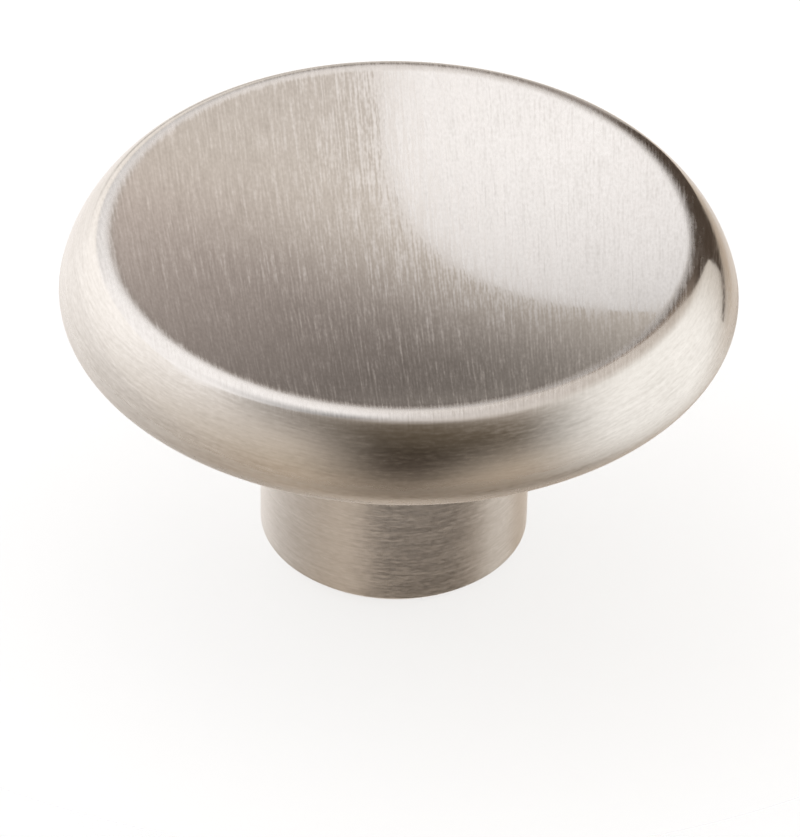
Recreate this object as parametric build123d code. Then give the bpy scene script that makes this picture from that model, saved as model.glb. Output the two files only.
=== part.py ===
from build123d import *
import os
from math import asin, atan2, degrees, radians, sqrt, tan

# Round cabinet knob, cast in one piece: a dished head with a bowed rim on a plain round stem.
# Millimetres. The foot of the stem stands on the plane Z = 0, and the knob's axis is Z.

# Head
head_diameter = 38.0  # at the widest part of the rim
head_thickness = 4.87  # from the flat underside to the crest of the rim
rim_width = 2.7  # level distance from the widest part in to the crest
rim_bow_radius = 6.25  # bowed flank between the two rounds
rim_bottom_round = 1.15
rim_crest_round = 1.3
dish_depth = 1.7  # from the crest down to the middle of the face

# Stem
projection = 20.7  # from the foot to the crest
stem_diameter = 15.5
foot_chamfer = 0.35

# Blind screw hole, tapped from the foot
thread_diameter = 4.0
thread_pitch = 0.7
hole_depth = 13.0  # full-width depth, without the drill point
hole_mouth_margin = 0.25  # how far the chamfer at the mouth passes the thread, on the radius
hole_mouth_angle = 45.0  # of the chamfer, against the foot
drill_point_angle = 118.0

head_radius = head_diameter / 2
stem_radius = stem_diameter / 2
underside_height = projection - head_thickness
face_centre_height = projection - dish_depth

# The flank's centre lies where its arc touches both rounds from within.
bottom_centre = Vector(head_radius - rim_bottom_round, underside_height + rim_bottom_round)
crest_centre = Vector(head_radius - rim_width, projection - rim_crest_round)
to_bottom = rim_bow_radius - rim_bottom_round
to_crest = rim_bow_radius - rim_crest_round
between = crest_centre - bottom_centre
along = (between.length**2 + to_bottom**2 - to_crest**2) / (2 * between.length)
inward = sqrt(to_bottom**2 - along**2)
rise = between.normalized()
flank_centre = bottom_centre + rise * along + Vector(-rise.Y, rise.X) * inward


def direction(start, end):
    """Angle of the line from start to end, in degrees from the level."""
    return degrees(atan2(end.Y - start.Y, end.X - start.X))


flank_start = direction(flank_centre, bottom_centre)
flank_end = direction(flank_centre, crest_centre)

# The dish is part of a sphere that touches the crest round and lies dish_depth below it on the axis.
dish_reach = (crest_centre.X**2 + dish_depth**2) / (2 * dish_depth)
dish_radius = dish_reach - rim_crest_round
dish_slope = degrees(asin(crest_centre.X / dish_reach))

# The tapping drill leaves the thread's minor diameter, and a chamfer opens its mouth.
drill_radius = (thread_diameter - thread_pitch) / 2
mouth_radius = thread_diameter / 2 + hole_mouth_margin
mouth_depth = (mouth_radius - drill_radius) * tan(radians(hole_mouth_angle))
point_depth = drill_radius / tan(radians(drill_point_angle / 2))

with BuildPart() as knob_body:
    # Head and stem, from the foot up the outside and over the face to the axis
    with BuildSketch(Plane.XZ):
        with BuildLine():
            Polyline(
                (0, 0),
                (stem_radius - foot_chamfer, 0),
                (stem_radius, foot_chamfer),
                (stem_radius, underside_height),
                (bottom_centre.X, underside_height),
            )
            CenterArc(bottom_centre, rim_bottom_round, -90, 90 + flank_start)
            CenterArc(flank_centre, rim_bow_radius, flank_start, flank_end - flank_start)
            CenterArc(crest_centre, rim_crest_round, flank_end, 90 + dish_slope - flank_end)
            dish_centre = (0, face_centre_height + dish_radius)
            CenterArc(dish_centre, dish_radius, dish_slope - 90, -dish_slope)
            Line((0, face_centre_height), (0, 0))
        make_face()
    revolve(axis=Axis.Z)

    # Screw hole: chamfered mouth, straight wall, drill point
    with BuildSketch(Plane.XZ):
        with BuildLine():
            Polyline(
                (0, 0),
                (mouth_radius, 0),
                (drill_radius, mouth_depth),
                (drill_radius, hole_depth),
                (0, hole_depth + point_depth),
                close=True,
            )
        make_face()
    revolve(axis=Axis.Z, mode=Mode.SUBTRACT)

os.makedirs("parts", exist_ok=True)
export_step(knob_body.part, "parts/knob_body.step")
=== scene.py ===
import bpy
import numpy as np
from mathutils import Matrix


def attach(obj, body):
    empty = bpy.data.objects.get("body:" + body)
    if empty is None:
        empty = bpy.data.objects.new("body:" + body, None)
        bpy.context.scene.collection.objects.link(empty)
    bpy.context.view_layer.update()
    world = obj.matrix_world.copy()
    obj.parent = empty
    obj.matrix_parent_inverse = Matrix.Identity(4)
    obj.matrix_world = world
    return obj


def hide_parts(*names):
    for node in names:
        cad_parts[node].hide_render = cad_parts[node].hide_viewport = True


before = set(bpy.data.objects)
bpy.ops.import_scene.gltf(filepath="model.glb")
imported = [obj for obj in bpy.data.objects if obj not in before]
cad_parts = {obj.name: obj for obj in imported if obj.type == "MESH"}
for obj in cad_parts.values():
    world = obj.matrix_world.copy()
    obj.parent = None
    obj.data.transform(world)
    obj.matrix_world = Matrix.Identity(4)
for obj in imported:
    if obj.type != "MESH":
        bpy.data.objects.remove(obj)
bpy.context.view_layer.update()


# Knob: a zinc alloy casting in one piece, a dished head with a bowed rim on a round stem.
# It is nickel plated, and brushed straight over the face and around the rim and the stem.
# A screw through the cabinet front goes into the tapped hole in its foot.
mm = 0.001
head_radius = 19.0 * mm
head_thickness = 4.87 * mm
rim_width = 2.7 * mm
rim_bow_radius = 6.25 * mm
rim_bottom_round = 1.15 * mm
rim_crest_round = 1.3 * mm
rim_lip_round = 4.0 * mm
rim_lip_tilt = 5.0
dish_depth = 1.7 * mm
projection = 20.7 * mm
stem_radius = 7.75 * mm
foot_chamfer = 0.35 * mm
thread_radius = 2.0 * mm
thread_pitch = 0.7 * mm
thread_crest_flat = 1 / 4
thread_root_flat = 1 / 8
thread_depth = 11.0 * mm
drill_radius = thread_radius - thread_pitch / 2
hole_depth = 13.0 * mm
hole_mouth_margin = 0.25 * mm
hole_mouth_radius = thread_radius + hole_mouth_margin
drill_point_angle = 118.0
drill_point_slope = np.tan(np.radians(drill_point_angle / 2))
sharp_from = 38.0

underside_height = projection - head_thickness
bottom_centre = np.array([head_radius - rim_bottom_round, underside_height + rim_bottom_round])
crest_centre = np.array([head_radius - rim_width, projection - rim_crest_round])

# The flank's centre lies where its arc touches both rounds from within.
to_bottom = rim_bow_radius - rim_bottom_round
to_crest = rim_bow_radius - rim_crest_round
span = crest_centre - bottom_centre
span_length = np.hypot(*span)
rise = span / span_length
along_span = (span_length**2 + to_bottom**2 - to_crest**2) / (2 * span_length)
beside_span = np.sqrt(to_bottom**2 - along_span**2)
flank_centre = bottom_centre + along_span * rise + beside_span * np.array([-rise[1], rise[0]])
flank_start = np.degrees(np.arctan2(*(bottom_centre - flank_centre)[::-1]))
flank_end = np.degrees(np.arctan2(*(crest_centre - flank_centre)[::-1]))

# The brush has eased the crest into a wider round at its inner lip.
# The dish is part of a sphere that touches the lip.
lip_direction = np.array([-np.sin(np.radians(rim_lip_tilt)), np.cos(np.radians(rim_lip_tilt))])
lip_centre = crest_centre + (rim_crest_round - rim_lip_round) * lip_direction
face_height = projection - dish_depth
face_above_lip = face_height - lip_centre[1]
dish_span = lip_centre[0] ** 2 + face_above_lip**2 - rim_lip_round**2
dish_radius = dish_span / (2 * (rim_lip_round - face_above_lip))
dish_slope = np.degrees(np.arcsin(lip_centre[0] / (dish_radius + rim_lip_round)))
dish_centre = np.array([0.0, face_height + dish_radius])


def bend(centre, radius, start, end, steps):
    """Round of the profile: the centre plus the radius times the cosine and sine of even angles."""
    angle = np.radians(np.linspace(start, end, steps + 1))
    return (centre + radius * np.column_stack([np.cos(angle), np.sin(angle)]))[1:]


def straight(start, end, steps):
    """Straight of the profile: even steps from the start to the end, without the start."""
    return np.linspace(start, end, steps + 1)[1:]


hole_end = hole_depth + drill_radius / drill_point_slope
profile_parts = {
    "face_middle": np.array([[0.0, face_height]]),
    "dish": bend(dish_centre, dish_radius, -90, dish_slope - 90, steps=32),
    "lip": bend(lip_centre, rim_lip_round, 90 + dish_slope, 90 + rim_lip_tilt, steps=5),
    "crest": bend(crest_centre, rim_crest_round, 90 + rim_lip_tilt, flank_end, steps=18),
    "flank": bend(flank_centre, rim_bow_radius, flank_end, flank_start, steps=20),
    "bottom_edge": bend(bottom_centre, rim_bottom_round, flank_start, -90, steps=18),
    "underside": straight((bottom_centre[0], underside_height), (stem_radius, underside_height), steps=10),
    "stem": straight((stem_radius, underside_height), (stem_radius, foot_chamfer), steps=16),
    "chamfer": straight((stem_radius, foot_chamfer), (stem_radius - foot_chamfer, 0), steps=2),
    "foot": straight((stem_radius - foot_chamfer, 0), (hole_mouth_radius, 0), steps=4),
    "hole_wall": straight((drill_radius, 0), (drill_radius, hole_depth), steps=140),
    "drill_point": straight((drill_radius, hole_depth), (0, hole_end), steps=4),
}
profile = np.concatenate(list(profile_parts.values()))
part_end = dict(zip(profile_parts, np.cumsum([len(part) for part in profile_parts.values()])))
profile_row = np.arange(len(profile))
in_hole = profile_row >= part_end["foot"]
in_wall = in_hole & (profile_row < part_end["hole_wall"])
columns = 300
turn = np.arange(columns) * 2 * np.pi / columns


def hole_wall(height, turn):
    """Radius of the tapped wall: the drill's radius, plus a helical groove whose depth is a clipped
    triangle wave of height over pitch less the turn, widened at the mouth to a cone of 45 degrees."""
    phase = (height / thread_pitch - turn / (2 * np.pi)) % 1
    flank = (1 - thread_crest_flat - thread_root_flat) / 2
    groove = np.clip((np.abs(phase - 0.5) - thread_crest_flat / 2) / flank, 0, 1)
    runout = np.clip((thread_depth - height) / thread_pitch, 0, 1)
    thread = drill_radius + (thread_radius - drill_radius) * groove * runout
    return np.maximum(thread, hole_mouth_radius - height)


def by_point(grid):
    """Values on rows and columns, put in the order of a turned surface's points: one for the first row,
    then each row between, column by column, and one for the last row."""
    return np.concatenate([grid[:1, 0], grid[1:-1].reshape((-1,) + grid.shape[2:]), grid[-1:, 0]])


def turned_surface(radius, height):
    """Profile carried around the axis: x and y are the radius times the cosine and sine of the turn,
    z is the height. The first and last rows are points on the axis, closed as fans. Gives the points
    and the faces, which point outwards."""
    grid = np.stack([radius * np.cos(turn), radius * np.sin(turn), height], axis=-1)
    number = 1 + np.arange((len(grid) - 2) * columns).reshape(-1, columns)
    after = np.roll(number, -1, axis=1)
    walls = np.stack([number[:-1], number[1:], after[1:], after[:-1]], axis=-1).reshape(-1, 4)
    last = np.full(columns, number[-1, -1] + 1)
    first_fan = np.stack([0 * last, number[0], after[0]], axis=-1)
    last_fan = np.stack([last, after[-1], number[-1]], axis=-1)
    return by_point(grid), walls.tolist() + first_fan.tolist() + last_fan.tolist()


knob_radius = np.repeat(profile[:, :1], columns, axis=1)
knob_height = np.repeat(profile[:, 1:], columns, axis=1)
knob_radius[in_wall] = hole_wall(knob_height[in_wall], turn)
knob_points, knob_faces = turned_surface(knob_radius, knob_height)
knob_mesh = bpy.data.meshes.new("knob_body")
knob_mesh.from_pydata(knob_points, [], knob_faces)
knob_mesh.shade_smooth()
knob_mesh.set_sharp_from_angle(angle=np.radians(sharp_from))

# The brush strokes fan out a little over the face, from a point in front of the knob,
# and run around the axis everywhere else. They cross over along the crest of the rim.
fan_point = np.array([10.2, -142.0]) * mm
fan_distance = np.hypot(*fan_point)
crossover_width = 1.7 * mm
profile_step = np.hypot(*np.diff(profile, axis=0).T)
profile_length = np.concatenate([[0], np.cumsum(profile_step)])
crest_length = profile_length[np.argmax(profile[:, 1])]
from_fan = knob_points[:, :2] - fan_point
fan_angle = np.arctan2(from_fan[:, 0], from_fan[:, 1])
face_lines = np.column_stack([fan_angle * fan_distance, np.hypot(*from_fan.T), 0 * fan_angle])
ring_length = by_point(np.repeat(profile_length[:, None], columns, axis=1))
ring_lines = np.column_stack([ring_length, knob_points[:, :2]])
on_face = np.clip(1 - (ring_length - crest_length) / crossover_width, 0, 1)
slope = np.gradient(profile, profile_length, axis=0)
outward = np.stack([slope[:, :1] * np.cos(turn), slope[:, :1] * np.sin(turn)], axis=-1)
down_profile = np.dstack([outward, np.repeat(slope[:, 1:], columns, axis=1)])
across_face = np.column_stack([np.cos(fan_angle), -np.sin(fan_angle), 0 * fan_angle])
face_share = (on_face**2 * (3 - 2 * on_face))[:, None]
across_strokes = across_face * face_share + by_point(down_profile) * (1 - face_share)
line_attributes = {"face_lines": face_lines, "ring_lines": ring_lines, "across_strokes": across_strokes}
for name, values in line_attributes.items():
    knob_mesh.attributes.new(name, "FLOAT_VECTOR", "POINT").data.foreach_set("vector", values.ravel())

# The brush leaves the crest and the bottom edge more matt. The hole is cut bare.
crest_matt = 0.20
bottom_matt = 0.24
bottom_matt_lead = 0.6 * mm
crest_from, crest_to, bottom_from, bottom_to = [
    profile_length[part_end[part] - 1] for part in ("dish", "crest", "flank", "bottom_edge")
]
matt_lengths = [crest_from, crest_length, crest_to, bottom_from - bottom_matt_lead, bottom_from, bottom_to]
matt_profile = np.interp(profile_length, matt_lengths, [0, crest_matt, 0, 0, bottom_matt, 0])
edge_matt = by_point(np.repeat(matt_profile[:, None], columns, axis=1))
cut_share = by_point(np.repeat(in_hole[:, None], columns, axis=1)).astype(float)
share_attributes = {"face_share": face_share, "cut_share": cut_share, "edge_matt": edge_matt}
for name, values in share_attributes.items():
    knob_mesh.attributes.new(name, "FLOAT", "POINT").data.foreach_set("value", values.ravel())

satin_nickel = bpy.data.materials.new("satin_nickel")
satin_nickel.use_nodes = True
nickel_nodes = satin_nickel.node_tree


def add(tree, kind, inputs=(), **settings):
    """New shader node with its settings. Each input is a value, or the output that feeds it."""
    node = tree.nodes.new("ShaderNode" + kind)
    for name, value in settings.items():
        setattr(node, name, value)
    for socket, value in dict(inputs).items():
        if isinstance(value, bpy.types.NodeSocket):
            tree.links.new(value, node.inputs[socket])
        else:
            node.inputs[socket].default_value = value
    return node


def attribute(name):
    """Output of the knob's own attribute: a vector, or a number."""
    node = add(nickel_nodes, "Attribute", attribute_name=name)
    return node.outputs["Vector" if name in line_attributes else "Fac"]


place = add(nickel_nodes, "TexCoord").outputs["Object"]
sway_length = 6.25 * mm


def strokes(lines, width, length, sway, seed):
    """Brush strokes: noise on the line coordinates, divided by the stroke's width across and by its
    length along, after a slow noise has swayed the lines sideways so that they lean a little."""
    slow_grid = {"Vector": place, "Location": (seed, 0, 0), "Scale": (1 / sway_length,) * 3}
    slow = add(nickel_nodes, "Mapping", slow_grid)
    lean = add(nickel_nodes, "TexNoise", {"Vector": slow.outputs[0], "Scale": 1, "Detail": 1})
    aside = add(nickel_nodes, "Math", {0: lean.outputs[0], 1: sway, 2: -sway / 2}, operation="MULTIPLY_ADD")
    shift = add(nickel_nodes, "CombineXYZ", {"X": aside.outputs[0]})
    swayed = add(nickel_nodes, "VectorMath", {0: lines, 1: shift.outputs[0]}, operation="ADD")
    scale = (1 / width, 1 / length, 1 / length)
    fine_grid = {"Vector": swayed.outputs[0], "Location": (0, seed, 0), "Scale": scale}
    fine = add(nickel_nodes, "Mapping", fine_grid)
    noise = {"Vector": fine.outputs[0], "Scale": 1, "Detail": 1, "Roughness": 0.4}
    return add(nickel_nodes, "TexNoise", noise).outputs[0]


def together(layers):
    """Weighted mean of the stroke layers: each one times its weight, added up."""
    total = 0.0
    for weight, layer in layers:
        weighed = {0: layer, 1: weight, 2: total}
        total = add(nickel_nodes, "Math", weighed, operation="MULTIPLY_ADD").outputs[0]
    return total


face_grain = attribute("face_lines")
face_long = strokes(face_grain, width=0.12 * mm, length=6.0 * mm, sway=0.12 * mm, seed=1.0)
face_middle = strokes(face_grain, width=0.13 * mm, length=1.5 * mm, sway=0.24 * mm, seed=5.0)
face_short = strokes(face_grain, width=0.14 * mm, length=0.36 * mm, sway=0.24 * mm, seed=17.0)
face_broad = strokes(face_grain, width=0.60 * mm, length=9.0 * mm, sway=0.30 * mm, seed=21.0)
face_strokes = together([(0.28, face_long), (0.31, face_middle), (0.31, face_short), (0.10, face_broad)])
face_scores = together([(0.45, face_long), (0.40, face_middle), (0.15, face_short)])
ring_grain = attribute("ring_lines")
ring_long = strokes(ring_grain, width=0.12 * mm, length=4.0 * mm, sway=0.45 * mm, seed=9.0)
ring_middle = strokes(ring_grain, width=0.13 * mm, length=1.2 * mm, sway=0.55 * mm, seed=13.0)
ring_short = strokes(ring_grain, width=0.13 * mm, length=0.40 * mm, sway=0.30 * mm, seed=25.0)
ring_strokes = together([(0.28, ring_long), (0.34, ring_middle), (0.38, ring_short)])
brushing_mix = {"Factor": attribute("face_share"), "A": ring_strokes, "B": face_strokes}
brushing = add(nickel_nodes, "Mix", brushing_mix).outputs[0]

# The strokes vary the metal's tone, its gloss and its relief.
face_tone = add(nickel_nodes, "MapRange", {"Value": face_strokes, "From Min": 0.29, "From Max": 0.71})
ring_tone = add(nickel_nodes, "MapRange", {"Value": ring_strokes, "From Min": 0.20, "From Max": 0.80})
tone_mix = {"Factor": attribute("face_share"), "A": ring_tone.outputs[0], "B": face_tone.outputs[0]}
stroke_tone = add(nickel_nodes, "Mix", tone_mix).outputs[0]
dark_nickel = (0.58, 0.55, 0.51, 1)
pale_nickel = (0.82, 0.79, 0.75, 1)
nickel_mix = {"Factor": stroke_tone, "A": dark_nickel, "B": pale_nickel}
brushed_colour = add(nickel_nodes, "Mix", nickel_mix, data_type="RGBA").outputs["Result"]
cut_zinc = (0.50, 0.50, 0.51, 1)
cut_mix = {"Factor": attribute("cut_share"), "A": brushed_colour, "B": cut_zinc}
nickel_colour = add(nickel_nodes, "Mix", cut_mix, data_type="RGBA").outputs["Result"]
face_matt_range = {"Value": face_scores, "From Min": 0.43, "From Max": 0.72, "To Min": 0.03, "To Max": 0.22}
ring_matt_range = {"Value": ring_strokes, "From Min": 0.40, "From Max": 0.64, "To Min": 0.09, "To Max": 0.22}
face_matt = add(nickel_nodes, "MapRange", face_matt_range).outputs[0]
ring_matt = add(nickel_nodes, "MapRange", ring_matt_range).outputs[0]
matt_mix = {"Factor": attribute("face_share"), "A": ring_matt, "B": face_matt}
stroke_matt = add(nickel_nodes, "Mix", matt_mix).outputs[0]
matt = add(nickel_nodes, "Math", {0: stroke_matt, 1: attribute("edge_matt")}, operation="ADD").outputs[0]
stroke_depth = 0.0030 * mm
relief_range = {"Value": attribute("face_share"), "To Min": 0.25, "To Max": 0.2}
relief_share = add(nickel_nodes, "MapRange", relief_range).outputs[0]
relief = add(nickel_nodes, "Bump", {"Height": brushing, "Distance": stroke_depth, "Strength": relief_share})
nickel_shader = nickel_nodes.nodes["Principled BSDF"]
nickel_shader.inputs["Metallic"].default_value = 1.0
nickel_shader.inputs["Anisotropic"].default_value = 0.8
nickel_nodes.links.new(nickel_colour, nickel_shader.inputs["Base Color"])
nickel_nodes.links.new(matt, nickel_shader.inputs["Roughness"])
nickel_nodes.links.new(relief.outputs[0], nickel_shader.inputs["Normal"])
nickel_nodes.links.new(attribute("across_strokes"), nickel_shader.inputs["Tangent"])
knob_mesh.materials.append(satin_nickel)
knob_body = bpy.data.objects.new("knob_surface", knob_mesh)
bpy.context.collection.objects.link(knob_body)
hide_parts("knob_body")
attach(knob_body, "root")


# Plate: a clear plate with a fine white frosting, which the knob stands on. The white ground shows through
# it, it takes the knob's soft shadow, and its frosting thins out to nothing at the edge.
plate_middle = (0, 20 * mm, 0)
plate_radius = 56 * mm
plate_edge = 12 * mm
frost_cover = 0.28
frost_white = (0.82, 0.81, 0.80, 1)
frost_seen = (1.44, 1.45, 1.46, 1)
plate_circle = np.column_stack([np.cos(turn), np.sin(turn), 0 * turn])
plate_points = np.array(plate_middle) + plate_radius * plate_circle
plate_mesh = bpy.data.meshes.new("plate")
plate_mesh.from_pydata(plate_points, [], [range(columns)])
frosted_plate = bpy.data.materials.new("frosted_plate")
frosted_plate.use_nodes = True
plate_nodes = frosted_plate.node_tree
plate_nodes.nodes.clear()


def seen_directly(tree):
    """1 for rays from the camera, a reflection or glass, and 0 for light that spreads."""
    ray = add(tree, "LightPath").outputs
    straight_on = add(tree, "Math", {0: ray["Is Camera Ray"], 1: ray["Is Glossy Ray"]}, operation="MAXIMUM")
    through = {0: straight_on.outputs[0], 1: ray["Is Transmission Ray"]}
    return add(tree, "Math", through, operation="MAXIMUM").outputs[0]


frost_tone = {"Factor": seen_directly(plate_nodes), "A": frost_white, "B": frost_seen}
frost_colour = add(plate_nodes, "Mix", frost_tone, data_type="RGBA").outputs["Result"]
plate_place = add(plate_nodes, "TexCoord").outputs["Object"]
plate_reach = {0: plate_place, 1: plate_middle}
from_middle = add(plate_nodes, "VectorMath", plate_reach, operation="DISTANCE").outputs["Value"]
frost_range = {"Value": from_middle, "From Min": plate_radius - plate_edge, "From Max": plate_radius}
frost_range |= {"To Min": frost_cover, "To Max": 0}
frost_share = add(plate_nodes, "MapRange", frost_range, interpolation_type="SMOOTHSTEP").outputs[0]
clear = add(plate_nodes, "BsdfTransparent").outputs[0]
frost = add(plate_nodes, "BsdfDiffuse", {"Color": frost_colour}).outputs[0]
plate_look = add(plate_nodes, "MixShader", {0: frost_share, 1: clear, 2: frost}).outputs[0]
add(plate_nodes, "OutputMaterial", {"Surface": plate_look})
plate_mesh.materials.append(frosted_plate)
plate = bpy.data.objects.new("plate", plate_mesh)
bpy.context.collection.objects.link(plate)


# Light tent: a white cloth dome around the knob, lit from outside by soft boxes on the left and on the
# right, with the darker room behind the camera.
tent_radius = 494 * mm
tent_middle = 17.0 * mm
tent_cloth_low = np.array([0.621, 0.527, 0.425])
tent_cloth_high = np.array([0.891, 0.850, 0.845])
# bearing from straight behind the knob and height of the middle, half width and half height, lean,
# squareness, softness of the edge, shade from foot to head, colour
tent_patches = {
    "left_box": (-65.0, 22.8, 72.0, 38.9, -60.2, 1.60, 1.15, 0.14, (1.401, 1.375, 1.373)),
    "camera_side": (174.0, 25.4, 20.6, 36.9, 10.7, 1.77, 0.84, -0.10, (0.080, 0.062, 0.050)),
    "camera_top": (159.2, 40.3, 60.0, 18.2, 22.5, 2.96, 1.14, 0.45, (0.149, 0.119, 0.087)),
    "back_wall": (13.2, 22.2, 18.5, 18.1, -75.0, 1.60, 0.37, 0.95, (0.626, 0.551, 0.518)),
    "back_foot": (8.0, -1.5, 36.0, 6.5, 0.0, 2.50, 0.40, 0.0, (0.600, 0.565, 0.535)),
    "right_box": (88.0, 6.9, 44.3, 38.2, 64.2, 1.60, 0.55, 0.09, (1.222, 1.211, 1.195)),
    # painted shadow: the floor's shade under the head in front of the stem, as the stem mirrors it
    "painted_floor_shade": (156.5, -38.0, 40.0, 8.5, 0.0, 2.20, 0.45, 0.0, (0.045, 0.024, 0.006)),
}
# painted floor light and shade on the cloth below the knob, for the floor beyond the plate as the knob
# mirrors it: mean, towards the back, towards the right, both ways along those
painted_floor_light = (0.532, -0.020, 0.044, 0.085, 0.045)
painted_floor_tint = np.array([1.0, 0.83, 0.67])
painted_floor_least = 0.02
tent_foot_seam = 5.0
tent_rows = np.linspace(90, -90, 241)
tent_turn = np.radians(tent_rows)[:, None] + 0 * turn
tent_points, tent_faces = turned_surface(tent_radius * np.cos(tent_turn), tent_radius * np.sin(tent_turn))
bearing = np.degrees(np.arctan2(tent_points[:, 0], tent_points[:, 1]))
height = np.degrees(np.arcsin(np.clip(tent_points[:, 2] / tent_radius, -1, 1)))


def patch_light(bearing, height, patch):
    """Rounded patch: the distance from its middle, each way over its half size, raised to its squareness
    and added, eased from 1 inside to 0 outside over its soft edge. Gives that share and its light."""
    middle, level, half_width, half_height, lean, squareness, softness, shade, colour = patch
    aside = ((bearing - middle + 180) % 360 - 180) * np.cos(np.radians(level))
    above = height - level
    cosine, sine = np.cos(np.radians(lean)), np.sin(np.radians(lean))
    across = (cosine * aside + sine * above) / half_width
    up = (cosine * above - sine * aside) / half_height
    reach = (np.abs(across) ** squareness + np.abs(up) ** squareness) ** (1 / squareness)
    inside = np.clip((1 + softness - reach) / (2 * softness), 0, 1)
    share = (inside**2 * (3 - 2 * inside))[:, None]
    return share, (1 + shade * np.clip(up, -1, 1))[:, None] * np.array(colour)


# Below the seam the cloth carries the painted floor light and shade, tinted warm and never quite black.
around = np.radians(bearing)
foot_waves = [1 + 0 * around, np.cos(around), np.sin(around), np.cos(2 * around), np.sin(2 * around)]
painted_floor_level = np.maximum(np.array(painted_floor_light) @ np.stack(foot_waves), painted_floor_least)
painted_floor_glow = painted_floor_level[:, None] * painted_floor_tint
up_tent = np.clip(height / 90, 0, 1)[:, None]
cloth_light = tent_cloth_low * (1 - up_tent) + tent_cloth_high * up_tent
over_seam = np.clip((height / tent_foot_seam + 1) / 2, 0, 1)[:, None]
above_seam = over_seam**2 * (3 - 2 * over_seam)
tent_light = painted_floor_glow * (1 - above_seam) + cloth_light * above_seam
for patch in tent_patches.values():
    share, light = patch_light(bearing, height, patch)
    tent_light = tent_light * (1 - share) + light * share

tent_mesh = bpy.data.meshes.new("light_tent")
tent_mesh.from_pydata(tent_points + np.array([0, 0, tent_middle]), [], tent_faces)
tent_colours = tent_mesh.color_attributes.new("tent_light", "FLOAT_COLOR", "POINT")
tent_colours.data.foreach_set("color", np.column_stack([tent_light, np.ones(len(tent_light))]).ravel())
lit_cloth = bpy.data.materials.new("lit_cloth")
lit_cloth.use_nodes = True
cloth_nodes = lit_cloth.node_tree
cloth_nodes.nodes.clear()
cloth_colour = add(cloth_nodes, "Attribute", attribute_name="tent_light").outputs["Color"]
cloth_glow = add(cloth_nodes, "Emission", {"Color": cloth_colour})
add(cloth_nodes, "OutputMaterial", {"Surface": cloth_glow.outputs[0]})
lit_cloth.cycles.emission_sampling = "NONE"
tent_mesh.materials.append(lit_cloth)
light_tent = bpy.data.objects.new("light_tent", tent_mesh)
light_tent.visible_camera = False
bpy.context.collection.objects.link(light_tent)


# Panel: a flat light, level, above the knob's left side. It is square in front, and its oval end reaches
# far behind the knob. Its light fades towards the right of the front edge and towards the far end.
panel_height = 192.0 * mm
panel_middle = np.array([-134.1, 138.2]) * mm
panel_half_width = 136.7 * mm
panel_back, panel_front = 297.0 * mm, 210.0 * mm
panel_squareness = 5.0
panel_colour = (1.295, 1.282, 1.312, 1)
panel_full, panel_dim = 157.5 * mm, 367.5 * mm
panel_end_light = 0.660
panel_lit_from, panel_lit_to = -72 * mm, 40 * mm
panel_front_light = 0.25
panel_fade_from, panel_fade_to = -150 * mm, -40 * mm
panel_round = np.where(np.sin(turn) > 0, 1, 2 / panel_squareness)
panel_length = np.where(np.sin(turn) > 0, panel_back, panel_front)
panel_across = panel_half_width * np.sign(np.cos(turn)) * np.abs(np.cos(turn)) ** panel_round
panel_along = panel_length * np.sign(np.sin(turn)) * np.abs(np.sin(turn)) ** panel_round
panel_outline = panel_middle + np.column_stack([panel_across, panel_along])
panel_points = np.column_stack([panel_outline, panel_height + 0 * turn])
panel_mesh = bpy.data.meshes.new("light_panel")
panel_mesh.from_pydata(panel_points, [], [range(columns)])
lit_panel = bpy.data.materials.new("lit_panel")
lit_panel.use_nodes = True
panel_nodes = lit_panel.node_tree
panel_nodes.nodes.clear()
panel_place = add(panel_nodes, "SeparateXYZ", {0: add(panel_nodes, "TexCoord").outputs["Object"]})
far_range = {"Value": panel_place.outputs["Y"], "From Min": panel_full, "From Max": panel_dim}
far_range |= {"To Min": 1, "To Max": panel_end_light}
far_light = add(panel_nodes, "MapRange", far_range).outputs[0]
edge_range = {"Value": panel_place.outputs["X"], "From Min": panel_fade_from, "From Max": panel_fade_to}
edge_range |= {"To Min": 1, "To Max": panel_front_light}
edge_light = add(panel_nodes, "MapRange", edge_range).outputs[0]
front_range = {"Value": panel_place.outputs["Y"], "From Min": panel_lit_from, "From Max": panel_lit_to}
front_range |= {"To Min": edge_light, "To Max": 1}
front_light = add(panel_nodes, "MapRange", front_range, interpolation_type="SMOOTHSTEP").outputs[0]
panel_light = add(panel_nodes, "Math", {0: far_light, 1: front_light}, operation="MULTIPLY").outputs[0]
panel_glow = add(panel_nodes, "Emission", {"Color": panel_colour, "Strength": panel_light})
add(panel_nodes, "OutputMaterial", {"Surface": panel_glow.outputs[0]})
lit_panel.cycles.emission_sampling = "NONE"
panel_mesh.materials.append(lit_panel)
light_panel = bpy.data.objects.new("light_panel", panel_mesh)
light_panel.visible_camera = False
bpy.context.collection.objects.link(light_panel)
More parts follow.
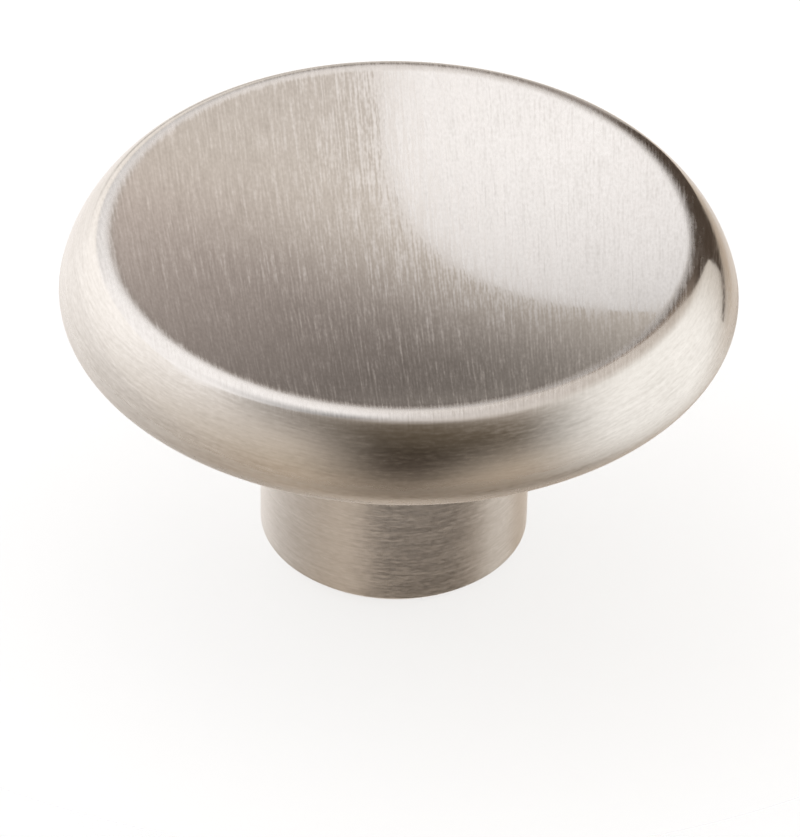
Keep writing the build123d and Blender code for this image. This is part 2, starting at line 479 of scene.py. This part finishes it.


# Card: matt brown board, paler at its head, upright behind the knob on the right. Its narrow foot runs out
# to the right and down past the table top, a painted shadow of the card on the table. It gives the rim its
# dark band there.
card_distance = 55 * mm
# painted shadow: the foot's spur out to the right is the card's shadow on the table
card_foot_and_painted_shadow = [(28, 9), (60, 6), (92, -8), (94, -4), (68, 10)]
card_outline = np.array(card_foot_and_painted_shadow + [(68, 72), (12, 96), (12, 58)]) * mm
card_brown = (0.17, 0.14, 0.12, 1)
card_buff = (0.70, 0.60, 0.53, 1)
card_pale_from, card_pale_to = 64 * mm, 82 * mm
card_points = [(across, card_distance, up) for across, up in card_outline]
card_mesh = bpy.data.meshes.new("dark_card")
card_mesh.from_pydata(card_points, [], [range(len(card_points))])
matt_card = bpy.data.materials.new("matt_card")
matt_card.use_nodes = True
card_nodes = matt_card.node_tree
card_nodes.nodes.clear()
card_place = add(card_nodes, "SeparateXYZ", {0: add(card_nodes, "TexCoord").outputs["Object"]})
card_rise = {"Value": card_place.outputs["Z"], "From Min": card_pale_from, "From Max": card_pale_to}
card_paleness = add(card_nodes, "MapRange", card_rise).outputs[0]
card_colours = {"Factor": card_paleness, "A": card_brown, "B": card_buff}
card_colour = add(card_nodes, "Mix", card_colours, data_type="RGBA").outputs["Result"]
card_dark = add(card_nodes, "BsdfDiffuse", {"Color": card_colour})
add(card_nodes, "OutputMaterial", {"Surface": card_dark.outputs[0]})
card_mesh.materials.append(matt_card)
dark_card = bpy.data.objects.new("dark_card", card_mesh)
dark_card.visible_camera = False
dark_card.visible_diffuse = False
bpy.context.collection.objects.link(dark_card)


# Room beyond the tent: plain white to the camera and to reflections.
# It sheds no light on the knob, which the tent closes in.
room = bpy.data.worlds.new("room")
room.use_nodes = True
room_light = room.node_tree.nodes["Background"]
room_light.inputs["Color"].default_value = (1, 1, 1, 1)
room.node_tree.links.new(seen_directly(room.node_tree), room_light.inputs["Strength"])
bpy.context.scene.world = room


# Camera: a long lens a quarter of a metre away, in front of the knob and above it.
# It looks down at the face, a little out of level.
camera_place = (0, -203.19 * mm, 167.41 * mm)
camera_turn = np.radians(-0.0675)
camera_pitch = np.radians(38.239)
camera_roll = np.radians(1.382)
camera_data = bpy.data.cameras.new("camera")
camera_data.sensor_width = 36
camera_data.lens = 194.16
camera = bpy.data.objects.new("camera", camera_data)
level = Matrix.Rotation(camera_turn, 4, "Z") @ Matrix.Rotation(np.pi / 2 - camera_pitch, 4, "X")
camera.matrix_world = Matrix.Translation(camera_place) @ level @ Matrix.Rotation(camera_roll, 4, "Z")
bpy.context.collection.objects.link(camera)
bpy.context.scene.camera = camera
bpy.context.scene.view_settings.view_transform = "Standard"
